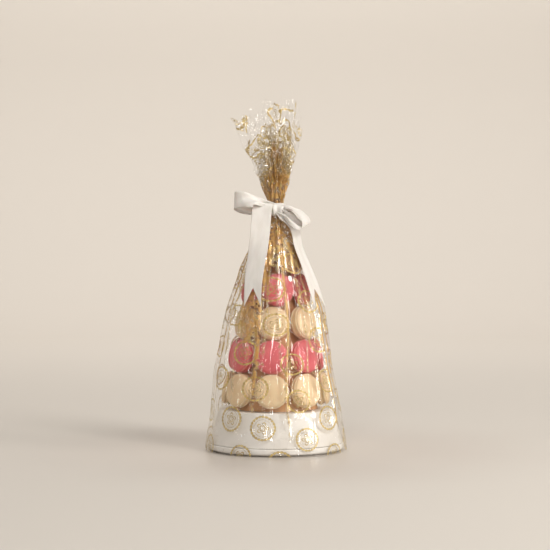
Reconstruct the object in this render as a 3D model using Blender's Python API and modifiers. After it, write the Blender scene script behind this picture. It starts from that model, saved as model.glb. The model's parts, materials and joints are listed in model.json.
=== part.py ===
"""Macaron tower in a clear wrap: a white drum on a board, a paper cone, rings of macarons fixed round
it, a clear printed film gathered over them, and a satin ribbon tied in a bow at the gather.

Metres, +Z up. The origin is the centre of the board's underside, and the front of the tower faces -Y.
Azimuths of macarons are counted from the front, positive towards +X."""

import bisect
import math
import random

import bmesh
import bpy
from mathutils import Vector

MM = 0.001

# Board and drum
BOARD_RADIUS = 87.5 * MM
BOARD_HEIGHT = 9.5 * MM
BOARD_EDGE = 1.2 * MM
DRUM_FOOT_RADIUS = 86.0 * MM
DRUM_TOP_RADIUS = 73.5 * MM
DRUM_TOP = 53.0 * MM
DRUM_EDGE = 1.5 * MM
BASE_STEPS = 40
TOUCH_GAP = 0.3 * MM

# Cone
CONE_BASE_RADIUS = 54.3 * MM
CONE_TIP_HEIGHT = 286.0 * MM
CONE_TIP_ROUND = 3.0 * MM
CONE_SLOPE = 0.2
CONE_STEPS = 32

# Macarons: one row of the table for each ring, from the bottom one up
RINGS = (
    # centre height, count, azimuth of the first, diameter, thickness, flavour
    (79.0 * MM, 8, -5.0, 42.8 * MM, 18.5 * MM, "almond"),
    (121.6 * MM, 7, -6.0, 42.6 * MM, 18.5 * MM, "raspberry"),
    (164.0 * MM, 6, -5.0, 42.4 * MM, 18.2 * MM, "almond"),
    (206.2 * MM, 5, 4.0, 41.4 * MM, 17.8 * MM, "raspberry"),
    (246.0 * MM, 4, 45.0, 38.0 * MM, 17.0 * MM, "caramel"),
)
MACARON_STEPS = 15
MACARON_CONE_GAP = 0.5 * MM
SIZE_SPREAD = 0.012
AZIMUTH_SPREAD = 0.5
TILT_SPREAD = 1.2

# Film: how far it reaches from the axis on its left and right side at each height of the skirt
SKIRT = (
    # height, reach to the left, reach to the right, half depth of the pleats, all in mm
    (0.6, 90.8, 91.0, 0.5),
    (50.0, 85.0, 86.0, 0.8),
    (102.0, 80.0, 75.0, 1.0),
    (180.0, 63.8, 63.2, 1.2),
    (205.0, 55.2, 56.6, 1.2),
    (231.0, 45.4, 44.6, 1.0),
    (257.0, 32.6, 32.2, 0.5),
    (283.0, 19.5, 19.5, 0.8),
    (296.0, 12.8, 12.8, 0.8),
    (304.0, 10.0, 10.0, 0.7),
    (318.0, 10.0, 10.0, 0.7),
)
FILM_THICKNESS = 0.5 * MM
FILM_COLUMNS = 48
PLEATS = 12
TOP_RING_LOBE = 3.4 * MM
TOP_RING_LOBE_HEIGHT = 258.0 * MM
TOP_RING_LOBE_SPAN = 20.0 * MM

# Plume above the gather: the free edge of the film passes through these corners
PLUME_CORNERS = (
    # direction in degrees from +X, reach and height in mm
    (0.0, 34.0, 406.0),
    (40.0, 36.0, 442.0),
    (90.0, 28.0, 445.0),
    (140.0, 42.0, 434.0),
    (180.0, 57.0, 422.0),
    (215.0, 33.0, 438.0),
    (265.0, 19.0, 453.0),
    (320.0, 28.0, 452.0),
)
PLUME_ROWS = (0.18, 0.42, 0.70, 1.0)
PLUME_FLARE = 1.05
PLUME_PLEAT = 4.5 * MM
PLUME_EDGE_WAVE = 3.0 * MM
INNER_FOLD_SCALE = 0.52
INNER_FOLD_FOOT = 310.0 * MM
INNER_FOLD_LIFT = 3.0 * MM
GATHER_RADIUS = 10.4 * MM
GATHER_BOTTOM = 305.0 * MM
GATHER_TOP = 317.0 * MM
GATHER_STEPS = 24

# Ribbon
RIBBON_WIDTH = 25.0 * MM
RIBBON_THICKNESS = 0.5 * MM
RIBBON_ROOT = 9.0 * MM
BAND_INNER_RADIUS = 10.7 * MM
BAND_OUTER_RADIUS = 12.0 * MM
KNOT_CENTRE = Vector((0.5 * MM, -16.2 * MM, 308.5 * MM))
KNOT_HALF_SIZE = Vector((8.6 * MM, 5.0 * MM, 8.4 * MM))
TAIL_STANDOFF = 1.6 * MM
TAIL_NOTCH = 16.0 * MM

# Finishes: sRGB colour, roughness, metallic, opacity
FINISHES = {
    "white_board": ((0.93, 0.90, 0.86), 0.55, 0.0, 1.0),
    "kraft_paper": ((0.78, 0.62, 0.42), 0.75, 0.0, 1.0),
    "almond": ((0.87, 0.74, 0.56), 0.65, 0.0, 1.0),
    "raspberry": ((0.84, 0.40, 0.42), 0.65, 0.0, 1.0),
    "caramel": ((0.80, 0.63, 0.43), 0.65, 0.0, 1.0),
    "clear_film": ((0.93, 0.90, 0.84), 0.12, 0.0, 0.3),
    "satin": ((0.90, 0.88, 0.85), 0.35, 0.0, 1.0),
}


def linear(channel):
    """Linear value of an sRGB channel."""
    return channel / 12.92 if channel <= 0.04045 else ((channel + 0.055) / 1.055) ** 2.4


def finish(name):
    """Material of a named finish, made once."""
    found = bpy.data.materials.get(name)
    if found:
        return found
    colour, roughness, metallic, opacity = FINISHES[name]
    made = bpy.data.materials.new(name)
    made.use_nodes = True
    shader = made.node_tree.nodes["Principled BSDF"]
    shader.inputs["Base Color"].default_value = (*(linear(c) for c in colour), 1.0)
    shader.inputs["Roughness"].default_value = roughness
    shader.inputs["Metallic"].default_value = metallic
    shader.inputs["Alpha"].default_value = opacity
    made.diffuse_color = (*(linear(c) for c in colour), opacity)
    return made


def placed(name, mesh, collection, finish_name):
    """Object of a mesh in a collection, with its finish."""
    obj = bpy.data.objects.new(name, mesh)
    collection.objects.link(obj)
    mesh.materials.append(finish(finish_name))
    return obj


def turned(name, profile, steps, collection, finish_name, ring=False):
    """Body turned about Z from (radius, height) points that run down its outer side.

    A ring's outline stays off the axis and closes on itself."""
    mesh = bpy.data.meshes.new(name)
    edges = [(i, i + 1) for i in range(len(profile) - 1)]
    if ring:
        edges.append((len(profile) - 1, 0))
    mesh.from_pydata([(radius, 0.0, height) for radius, height in profile], edges, [])
    obj = placed(name, mesh, collection, finish_name)
    screw = obj.modifiers.new("turn", "SCREW")
    screw.steps = screw.render_steps = steps
    screw.use_merge_vertices = True
    screw.merge_threshold = 0.00001
    screw.use_smooth_shade = True
    return obj


def sheet_mesh(name, columns, rows, point, closed):
    """Grid of columns by rows, each vertex moved to point(across, along) with both from 0 to 1."""
    shape = bmesh.new()
    bmesh.ops.create_grid(shape, x_segments=columns, y_segments=rows, size=0.5)
    for vertex in shape.verts:
        vertex.co = point(vertex.co.x + 0.5, vertex.co.y + 0.5)
    if closed:
        bmesh.ops.remove_doubles(shape, verts=shape.verts, dist=0.00001)
    bmesh.ops.recalc_face_normals(shape, faces=shape.faces)
    mesh = bpy.data.meshes.new(name)
    shape.to_mesh(mesh)
    shape.free()
    mesh.shade_smooth()
    return mesh


def thickened(obj, thickness):
    """The sheet given its thickness, half to each side."""
    solidify = obj.modifiers.new("thickness", "SOLIDIFY")
    solidify.thickness = thickness
    solidify.offset = 0.0


def applied(obj):
    """The object with its modifiers made part of its mesh."""
    graph = bpy.context.evaluated_depsgraph_get()
    mesh = bpy.data.meshes.new_from_object(obj.evaluated_get(graph))
    obj.modifiers.clear()
    obj.data = mesh


def fused(obj, additions, solver="EXACT"):
    """The object joined with a collection of additions, which are then removed."""
    union = obj.modifiers.new("join", "BOOLEAN")
    union.operation = "UNION"
    union.solver = solver
    union.operand_type = "COLLECTION"
    union.collection = additions
    applied(obj)
    for addition in list(additions.objects):
        bpy.data.objects.remove(addition)
    bpy.data.collections.remove(additions)


def between(stations, where, column):
    """Value of a column of stations at a place in the first column, on straight runs."""
    places = [station[0] for station in stations]
    last = min(max(bisect.bisect_right(places, where), 1), len(stations) - 1)
    low, high = stations[last - 1], stations[last]
    share = min(max((where - low[0]) / (high[0] - low[0]), 0.0), 1.0)
    return low[column] + (high[column] - low[column]) * share


# Board, drum and cone


def make_base(collection):
    """Board and the tapered drum that stands on it."""
    board = [
        (0.0, BOARD_HEIGHT),
        (BOARD_RADIUS - BOARD_EDGE, BOARD_HEIGHT),
        (BOARD_RADIUS, BOARD_HEIGHT - BOARD_EDGE),
        (BOARD_RADIUS, BOARD_EDGE),
        (BOARD_RADIUS - BOARD_EDGE, 0.0),
        (0.0, 0.0),
    ]
    turned("base_board", board, BASE_STEPS, collection, "white_board")
    drum_foot = BOARD_HEIGHT + TOUCH_GAP
    drum = [
        (0.0, DRUM_TOP),
        (DRUM_TOP_RADIUS - 2 * DRUM_EDGE, DRUM_TOP),
        (DRUM_TOP_RADIUS - DRUM_EDGE / 2, DRUM_TOP - DRUM_EDGE / 2),
        (DRUM_TOP_RADIUS, DRUM_TOP - 2 * DRUM_EDGE),
        (DRUM_FOOT_RADIUS, drum_foot),
        (0.0, drum_foot),
    ]
    turned("base_drum", drum, BASE_STEPS, collection, "white_board")


def cone_radius(height):
    """Radius of the cone at a height."""
    return CONE_BASE_RADIUS - CONE_SLOPE * (height - DRUM_TOP)


def make_cone(collection):
    """Paper cone with a blunt tip, standing on the drum."""
    foot = DRUM_TOP + TOUCH_GAP
    shoulder = CONE_TIP_HEIGHT - CONE_TIP_ROUND
    tip_radius = cone_radius(shoulder)
    profile = [
        (0.0, CONE_TIP_HEIGHT),
        (tip_radius * 0.75, CONE_TIP_HEIGHT - CONE_TIP_ROUND * 0.35),
        (tip_radius, shoulder),
        (cone_radius(foot), foot),
        (0.0, foot),
    ]
    turned("cone", profile, CONE_STEPS, collection, "kraft_paper")


# Macarons


def macaron_profile(radius, thickness):
    """Half outline of a macaron about its own axis: domed shell, foot, filling, foot, flatter shell."""
    half = thickness / 2
    filling = thickness * 0.11
    foot = thickness * 0.24
    return [
        (0.0, half),
        (radius * 0.52, half * 0.96),
        (radius * 0.84, half * 0.78),
        (radius * 0.975, foot),
        (radius, filling),
        (radius * 0.93, filling * 0.4),
        (radius, -filling),
        (radius * 0.975, -foot),
        (radius * 0.80, -half * 0.82),
        (0.0, -half),
    ]


def make_macarons(collection):
    """Rings of macarons whose flat sides lie against the cone, each a little uneven."""
    draw = random.Random(7)
    lean = math.degrees(math.atan(CONE_SLOPE))
    for ring, (height, count, first, diameter, thickness, flavour) in enumerate(RINGS, start=1):
        for place in range(count):
            azimuth = math.radians(first + 360.0 * place / count + draw.uniform(-1, 1) * AZIMUTH_SPREAD)
            radius = diameter / 2 * (1 - draw.random() * SIZE_SPREAD)
            tilt = math.radians(lean + draw.uniform(-1, 1) * TILT_SPREAD)
            reach = cone_radius(height) + (thickness / 2 + MACARON_CONE_GAP) / math.cos(tilt)
            facing = Vector((math.sin(azimuth), -math.cos(azimuth), math.tan(tilt)))
            profile = macaron_profile(radius, thickness)
            name = f"macaron_{ring}_{place + 1}"
            macaron = turned(name, profile, MACARON_STEPS, collection, flavour)
            macaron.location = (reach * facing.x, reach * facing.y, height)
            macaron.rotation_mode = "QUATERNION"
            macaron.rotation_quaternion = facing.to_track_quat("Z", "Y")


# Film


def pleat_wave(turn):
    """Wave of the pleats, from 0 on a crest to 2 in a valley, unevenly spaced round the turn."""
    uneven = 0.10 * math.sin(2 * turn + 1.0) + 0.06 * math.sin(3 * turn + 0.4)
    return 1 - math.cos(PLEATS * turn + 4 * uneven)


def top_ring_lobe(height):
    """How far the four macarons of the top ring push the film out at a height."""
    return TOP_RING_LOBE * max(0.0, 1 - abs(height - TOP_RING_LOBE_HEIGHT) / TOP_RING_LOBE_SPAN)


def skirt_crest(turn, height):
    """Distance of the pleats' crests from the axis in the direction turn, counted from +X."""
    left, right = (between(SKIRT, height / MM, column) * MM for column in (1, 2))
    side = (1 + math.cos(turn)) / 2
    corner = (1 - math.cos(4 * turn)) / 2
    return left + (right - left) * side + top_ring_lobe(height) * corner


def skirt_point(turn, height):
    """Point of the film's skirt."""
    depth = between(SKIRT, height / MM, 3) * MM
    radius = skirt_crest(turn, height) - depth * pleat_wave(turn)
    return Vector((radius * math.cos(turn), radius * math.sin(turn), height))


def plume_edge(turn):
    """Reach and height of the plume's free edge in a direction, eased from corner to corner."""
    first = PLUME_CORNERS[0]
    corners = (*PLUME_CORNERS, (360.0 + first[0], first[1], first[2]))
    where = math.degrees(turn) % 360.0
    last = next(i for i in range(1, len(corners)) if where <= corners[i][0])
    low, high = corners[last - 1], corners[last]
    share = (where - low[0]) / (high[0] - low[0])
    ease = share * share * (3 - 2 * share)
    return [(low[i] + (high[i] - low[i]) * ease) * MM for i in (1, 2)]


def plume_point(turn, rise):
    """Point of the plume, with rise from 0 at the gather to 1 at its free edge."""
    reach, top = plume_edge(turn)
    foot, neck, depth = SKIRT[-1][0] * MM, SKIRT[-1][1] * MM, SKIRT[-1][3] * MM
    wave = pleat_wave(turn)
    pleat = depth + (PLUME_PLEAT * min(1.0, reach / (30 * MM)) - depth) * rise
    radius = neck + (reach - neck) * rise**PLUME_FLARE - pleat * wave
    height = foot + (top - foot + PLUME_EDGE_WAVE * (1 - wave)) * rise
    return Vector((radius * math.cos(turn), radius * math.sin(turn), height))


def film_point(across, along):
    """Point of the whole film, row by row from the hem to the plume's edge."""
    turn = 2 * math.pi * across
    row = round(along * (len(SKIRT) + len(PLUME_ROWS) - 1))
    if row < len(SKIRT):
        return skirt_point(turn, SKIRT[row][0] * MM)
    return plume_point(turn, PLUME_ROWS[row - len(SKIRT)])


def inner_fold_point(across, along):
    """Point of the film's inner folds, which stand inside the plume."""
    outer = plume_point(2 * math.pi * across, along)
    height = INNER_FOLD_FOOT + (outer.z + INNER_FOLD_LIFT - INNER_FOLD_FOOT) * along
    return Vector((outer.x * INNER_FOLD_SCALE, outer.y * INNER_FOLD_SCALE, height))


def make_film(collection):
    """Film from the hem to the plume, open below, closed at the gather and open above."""
    rows = len(SKIRT) + len(PLUME_ROWS) - 1
    film = placed(
        "wrap_film",
        sheet_mesh("wrap_film", FILM_COLUMNS, rows, film_point, closed=True),
        collection,
        "clear_film",
    )
    thickened(film, FILM_THICKNESS)

    folds = bpy.data.collections.new("film folds")
    collection.children.link(folds)
    inner = placed(
        "inner_folds",
        sheet_mesh("inner_folds", FILM_COLUMNS // 2, 3, inner_fold_point, closed=True),
        folds,
        "clear_film",
    )
    thickened(inner, FILM_THICKNESS)
    gather = [
        (0.0, GATHER_TOP),
        (GATHER_RADIUS, GATHER_TOP),
        (GATHER_RADIUS, GATHER_BOTTOM),
        (0.0, GATHER_BOTTOM),
    ]
    turned("gather", gather, GATHER_STEPS, folds, "clear_film")
    fused(film, folds, solver="MANIFOLD")


# Ribbon


def smooth_through(points, share):
    """Point at a share of a smooth curve through points, with even steps between them."""
    place = share * (len(points) - 1)
    first = min(int(place), len(points) - 2)
    t = place - first
    p1, p2 = points[first], points[first + 1]
    p0 = points[first - 1] if first else p1 + (p1 - p2)
    p3 = points[first + 2] if first + 2 < len(points) else p2 + (p2 - p1)
    return 0.5 * (
        2 * p1 + (p2 - p0) * t + (2 * p0 - 5 * p1 + 4 * p2 - p3) * t**2 + (3 * p1 - p0 - 3 * p2 + p3) * t**3
    )


def ribbon_strip(name, route, collection, rows, notch=0.0):
    """Flat ribbon along a route of (centre, span) stations, where span runs from edge to edge.

    A notch is the depth of the swallowtail cut at the far end."""
    centres = [Vector(centre) * MM for centre, span in route]
    spans = [Vector(span) * MM for centre, span in route]
    length = sum((b - a).length for a, b in zip(centres, centres[1:]))

    def point(across, along):
        side = across - 0.5
        cut = along * (1 - notch / length * (1 - 2 * abs(side)) * along)
        return smooth_through(centres, cut) + smooth_through(spans, cut) * side

    strip = placed(name, sheet_mesh(name, 2, rows, point, closed=False), collection, "satin")
    thickened(strip, RIBBON_THICKNESS)
    return strip


def tail_station(height, across, azimuth, width, standoff=TAIL_STANDOFF / MM):
    """Station of a tail that lies on the film's skirt, all in mm and degrees.

    The ribbon is flat from edge to edge and faces azimuth, at the standoff from the film's crests."""
    turn = math.radians(azimuth)
    facing = Vector((math.sin(turn), -math.cos(turn), 0.0))
    span = Vector((math.cos(turn), math.sin(turn), 0.0))
    film = max(between(SKIRT, height, 1), between(SKIRT, height, 2)) + top_ring_lobe(height * MM) / MM
    depth = (film + standoff - across * facing.x) / -facing.y
    return (Vector((across, -depth, height)), span * width)


def make_ribbon(collection):
    """One ribbon: a band round the gather, a knot, two loops and two swallowtailed tails."""
    width, root = RIBBON_WIDTH / MM, RIBBON_ROOT / MM
    band_profile = [
        (BAND_INNER_RADIUS, GATHER_TOP),
        (BAND_OUTER_RADIUS, GATHER_TOP - 1 * MM),
        (BAND_OUTER_RADIUS, GATHER_BOTTOM + 1 * MM),
        (BAND_INNER_RADIUS, GATHER_BOTTOM),
    ]
    ribbon = turned("ribbon_bow", band_profile, GATHER_STEPS, collection, "satin", ring=True)
    parts = bpy.data.collections.new("ribbon parts")
    collection.children.link(parts)

    knot = bmesh.new()
    bmesh.ops.create_uvsphere(knot, u_segments=12, v_segments=6, radius=1.0)
    for vertex in knot.verts:
        vertex.co = KNOT_CENTRE + vertex.co * KNOT_HALF_SIZE
    knot_mesh = bpy.data.meshes.new("knot")
    knot.to_mesh(knot_mesh)
    knot.free()
    placed("knot", knot_mesh, parts, "satin")

    left_loop = [
        ((-3, -17, 313), (1, -1, root)),
        ((-14, -21, 316), (2, 7, root - 2)),
        ((-24, -24, 319.5), (3, 15, 8)),
        ((-34, -25, 321), (3, 12, width * 0.58)),
        ((-44, -23, 321.5), (3, 2, width * 0.80)),
        ((-52.5, -17, 320.5), (1, -2, width * 0.84)),
        ((-51, -9, 316), (1, 2, width * 0.76)),
        ((-40, -5, 311.5), (2, 5, width * 0.70)),
        ((-24, -7, 308), (2, 4, width * 0.54)),
        ((-12, -11, 308.5), (1, 1, root + 1)),
        ((-3, -14, 310), (0, 0, root)),
    ]
    right_loop = [
        ((2, -15, 310.5), (0, 0, root)),
        ((11, -18, 311), (0, 5, root - 2)),
        ((21, -20, 310), (2, 17, 5)),
        ((30, -21.5, 305), (6, 19, 5)),
        ((37, -22, 297.5), (10, 19, 3)),
        ((38.8, -23, 290.5), (10.5, 18, 3)),
        ((35.5, -25, 286.5), (8, 17, 5)),
        ((28, -26.5, 289.5), (5, 14, 10)),
        ((19, -25, 296.5), (3, 9, 13)),
        ((11, -22.5, 302.5), (1, 3, root)),
        ((2, -17.5, 307.5), (0, 0, root)),
    ]
    for name, route in (("left_loop", left_loop), ("right_loop", right_loop)):
        ribbon_strip(name, route, parts, rows=18)

    left_tail = [
        ((-5, -17, 311.5), (root + 2, 0, -2)),
        ((-13, -21.5, 316.5), (width * 0.88, 1, -1)),
        ((-17, -25, 311.5), (width, 0, 0)),
        ((-18.5, -27, 299), (width, 0, 0)),
        ((-20, -29.5, 280), (width, 1, 0)),
        tail_station(258, -22.5, -12, width),
        tail_station(236, -26, -22, width),
        tail_station(213, -28.5, -28, width),
        tail_station(186, -29.5, -32, width),
    ]
    right_tail = [
        ((3, -16, 308), (root, 2, root * 0.4)),
        ((11, -18, 303), (root + 6, 8, 9)),
        ((20, -16.5, 294), (width * 0.62, 16, 6)),
        ((25.5, -14, 280), (width * 0.46, 21.5, 0)),
        tail_station(262, 29, 64, width),
        tail_station(240, 37.5, 60, width),
        tail_station(214, 47, 56, width),
        tail_station(183, 57, 54, width),
    ]
    for name, route in (("left_tail", left_tail), ("right_tail", right_tail)):
        ribbon_strip(name, route, parts, rows=12, notch=TAIL_NOTCH)
    fused(ribbon, parts)


def main():
    """Clears the scene and builds the tower in a collection of its own."""
    for obj in list(bpy.data.objects):
        bpy.data.objects.remove(obj)
    tower = bpy.data.collections.new("macaron tower")
    bpy.context.scene.collection.children.link(tower)
    make_base(tower)
    make_cone(tower)
    make_macarons(tower)
    make_film(tower)
    make_ribbon(tower)


main()
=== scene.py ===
"""Looks of the macaron tower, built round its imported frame.

A white drum on a board carries a tan paper cone with five rings of macarons. A clear film printed with
gold rings is gathered over them and tied with a white satin ribbon. Metres, +Z up, front towards -Y.
"""

from __future__ import annotations

import bisect
import json
import logging
import math
import random
from dataclasses import dataclass, field
from enum import Enum
from typing import Callable, Sequence

import bpy
import numpy as np
from mathutils import Matrix, Vector, noise

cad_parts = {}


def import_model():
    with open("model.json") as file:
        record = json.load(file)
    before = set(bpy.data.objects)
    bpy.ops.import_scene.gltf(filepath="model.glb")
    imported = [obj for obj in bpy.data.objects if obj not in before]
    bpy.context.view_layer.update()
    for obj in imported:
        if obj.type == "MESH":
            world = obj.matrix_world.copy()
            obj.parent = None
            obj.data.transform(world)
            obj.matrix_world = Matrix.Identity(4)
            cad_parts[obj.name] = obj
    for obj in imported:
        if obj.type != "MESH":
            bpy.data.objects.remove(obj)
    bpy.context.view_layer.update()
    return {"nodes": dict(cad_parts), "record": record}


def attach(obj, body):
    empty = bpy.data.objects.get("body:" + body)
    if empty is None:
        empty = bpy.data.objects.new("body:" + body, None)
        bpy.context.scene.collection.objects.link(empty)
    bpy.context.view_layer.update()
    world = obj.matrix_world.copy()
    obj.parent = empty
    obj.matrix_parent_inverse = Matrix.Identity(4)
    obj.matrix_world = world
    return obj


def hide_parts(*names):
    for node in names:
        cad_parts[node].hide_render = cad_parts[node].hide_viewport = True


LOG = logging.getLogger("macaron_tower")
MM = 0.001
BODY = "root"

Colour = tuple[float, float, float]
Profile = list[tuple[float, float]]
Scale = tuple[float, float, float]
Station = tuple[Vector, Vector]


# Colours and small sums


def srgb(red: int, green: int, blue: int) -> Colour:
    """Linear colour of an sRGB colour.

    Args:
        red: Red from 0 to 255.
        green: Green from 0 to 255.
        blue: Blue from 0 to 255.

    Returns:
        The three linear channels.
    """

    def channel(value: int) -> float:
        """One channel."""
        share = value / 255
        return share / 12.92 if share <= 0.04045 else ((share + 0.055) / 1.055) ** 2.4

    return channel(red), channel(green), channel(blue)


def between(stations: Sequence[Sequence[float]], where: float, column: int) -> float:
    """Value of one column of a table at a place in its first column, on straight runs.

    Args:
        stations: Rows sorted by their first number.
        where: The place in the first column.
        column: The column that is read.

    Returns:
        The value there, held at the ends.
    """
    places = [station[0] for station in stations]
    last = min(max(bisect.bisect_right(places, where), 1), len(stations) - 1)
    low, high = stations[last - 1], stations[last]
    share = min(max((where - low[0]) / (high[0] - low[0]), 0.0), 1.0)
    return low[column] + (high[column] - low[column]) * share


def polar(radius: float, turn: float, height: float = 0.0) -> Vector:
    """Point at a radius, in a direction in radians from +X, at a height."""
    return Vector((radius * math.cos(turn), radius * math.sin(turn), height))


def arc(
    middle: tuple[float, float], size: tuple[float, float], start: float, step: float, count: int
) -> Profile:
    """Points down an upright elliptical arc.

    Args:
        middle: Radius and height of its middle.
        size: Its half width and half height.
        start: The first point's angle in degrees, from level outwards.
        step: Degrees from each point down to the next.
        count: The number of points.

    Returns:
        Radius and height of each point.
    """
    turns = [math.radians(start - step * i) for i in range(count)]
    return [(middle[0] + size[0] * math.cos(turn), middle[1] + size[1] * math.sin(turn)) for turn in turns]


def smooth_step(low: float, high: float, value: float) -> float:
    """Eased share from 0 at low to 1 at high."""
    share = min(max((value - low) / (high - low), 0.0), 1.0)
    return share * share * (3 - 2 * share)


def along_curve(points: Sequence[Vector], share: float) -> Vector:
    """Point of a smooth curve through points.

    Args:
        points: The points that the curve passes through.
        share: The place on it, from 0 to 1, with even steps between the points.

    Returns:
        The point there.
    """
    place = share * (len(points) - 1)
    first = min(int(place), len(points) - 2)
    t = place - first
    p1, p2 = points[first], points[first + 1]
    p0 = points[first - 1] if first else p1 + (p1 - p2)
    p3 = points[first + 2] if first + 2 < len(points) else p2 + (p2 - p1)
    square = 2 * p0 - 5 * p1 + 4 * p2 - p3
    cube = 3 * p1 - p0 - 3 * p2 + p3
    return 0.5 * (2 * p1 + (p2 - p0) * t + square * t**2 + cube * t**3)


# Modelling with operators


def select_only(*objects: bpy.types.Object) -> None:
    """Leaves just these objects selected.

    Args:
        *objects: The objects, of which the first becomes active.
    """
    bpy.ops.object.select_all(action="DESELECT")
    for obj in objects:
        obj.select_set(True)
    bpy.context.view_layer.objects.active = objects[0]


def edit(obj: bpy.types.Object, select: str = "SELECT") -> None:
    """Opens an object in edit mode.

    Args:
        obj: The object.
        select: SELECT for all of its mesh, DESELECT for none of it.
    """
    select_only(obj)
    bpy.ops.object.mode_set(mode="EDIT")
    bpy.ops.mesh.select_all(action=select)


def leave_edit() -> None:
    """Goes back to object mode."""
    bpy.ops.object.mode_set(mode="OBJECT")


def named(name: str) -> bpy.types.Object:
    """Names the active object and its mesh.

    Args:
        name: The name of both.

    Returns:
        The object.
    """
    obj = bpy.context.object
    obj.name = name
    obj.data.name = name
    return obj


def bake_place(obj: bpy.types.Object) -> bpy.types.Object:
    """Moves an object's place, turn and size into its mesh.

    Args:
        obj: The object.

    Returns:
        The object, at the origin.
    """
    select_only(obj)
    bpy.ops.object.transform_apply(location=True, rotation=True, scale=True)
    return obj


def apply_modifiers(obj: bpy.types.Object) -> bpy.types.Object:
    """Makes an object's modifiers part of its mesh.

    Args:
        obj: The object.

    Returns:
        The object.
    """
    select_only(obj)
    for modifier in list(obj.modifiers):
        bpy.ops.object.modifier_apply(modifier=modifier.name)
    return obj


def shade_smooth(obj: bpy.types.Object, angle: float | None = None) -> bpy.types.Object:
    """Shades an object smooth.

    Args:
        obj: The object.
        angle: Edges that turn by more than this many degrees stay sharp. None keeps no edge sharp.

    Returns:
        The object.
    """
    select_only(obj)
    if angle is None:
        bpy.ops.object.shade_smooth()
    else:
        bpy.ops.object.shade_smooth_by_angle(angle=math.radians(angle))
    return obj


def turned(name: str, profile: Profile, segments: int) -> bpy.types.Object:
    """Body turned about Z, as a filled circle that is extruded and resized ring by ring.

    Args:
        name: The object's name.
        profile: Radius and height of each ring, from the top down.
        segments: The number of sides.

    Returns:
        The closed body, at the origin.
    """
    radius, height = profile[0]
    bpy.ops.object.select_all(action="DESELECT")
    bpy.ops.mesh.primitive_circle_add(
        vertices=segments, radius=radius, fill_type="NGON", location=(0.0, 0.0, height)
    )
    obj = bake_place(named(name))
    edit(obj)
    for next_radius, next_height in profile[1:]:
        step = (0.0, 0.0, next_height - height)
        bpy.ops.mesh.extrude_region_move(TRANSFORM_OT_translate={"value": step})
        share = next_radius / radius
        bpy.ops.transform.resize(value=(share, share, 1.0), center_override=(0.0, 0.0, next_height))
        radius, height = next_radius, next_height
    bpy.ops.mesh.select_all(action="SELECT")
    bpy.ops.mesh.normals_make_consistent(inside=False)
    leave_edit()
    return obj


def sheet(
    name: str,
    columns: int,
    rows: int,
    place: Callable[[float, float], Vector],
    closed: bool = False,
    flat: Callable[[float, float], tuple[float, float]] | None = None,
    gather: Callable[[float, float], float] | None = None,
) -> bpy.types.Object:
    """Grid whose vertices are moved to a formula's places.

    Args:
        name: The object's name.
        columns: Faces across.
        rows: Faces along.
        place: Gives the point for a share across and a share along.
        closed: Whether the last column meets the first.
        flat: Gives the UV map's point in metres for the same shares.
        gather: Gives the value of a gather attribute for the same shares.

    Returns:
        The sheet, at the origin.
    """
    bpy.ops.object.select_all(action="DESELECT")
    bpy.ops.mesh.primitive_grid_add(x_subdivisions=columns, y_subdivisions=rows, size=1.0, calc_uvs=True)
    obj = named(name)
    if gather is not None:
        weights = obj.data.attributes.new("gather", "FLOAT", "POINT")
        for vertex in obj.data.vertices:
            weights.data[vertex.index].value = gather(vertex.co.x + 0.5, vertex.co.y + 0.5)
    if flat is not None:
        run = obj.data.uv_layers.active
        run.name = "run"
        flat_map = obj.data.uv_layers.new(name="flat")
        for corner, share in zip(flat_map.data, run.data):
            corner.uv = flat(*share.uv)
        obj.data.uv_layers.active = flat_map
    for vertex in obj.data.vertices:
        vertex.co = place(vertex.co.x + 0.5, vertex.co.y + 0.5)
    edit(obj)
    if closed:
        bpy.ops.mesh.remove_doubles(threshold=0.002 * MM)
    bpy.ops.mesh.normals_make_consistent(inside=False)
    leave_edit()
    return shade_smooth(obj)


def push(obj: bpy.types.Object, shift: Callable[[Vector], Vector]) -> bpy.types.Object:
    """Adds a formula's shift to each vertex of an object.

    Args:
        obj: The object.
        shift: Gives the shift for a vertex's place.

    Returns:
        The object.
    """
    for vertex in obj.data.vertices:
        vertex.co = vertex.co + shift(vertex.co)
    return obj


# Shader maths


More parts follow.
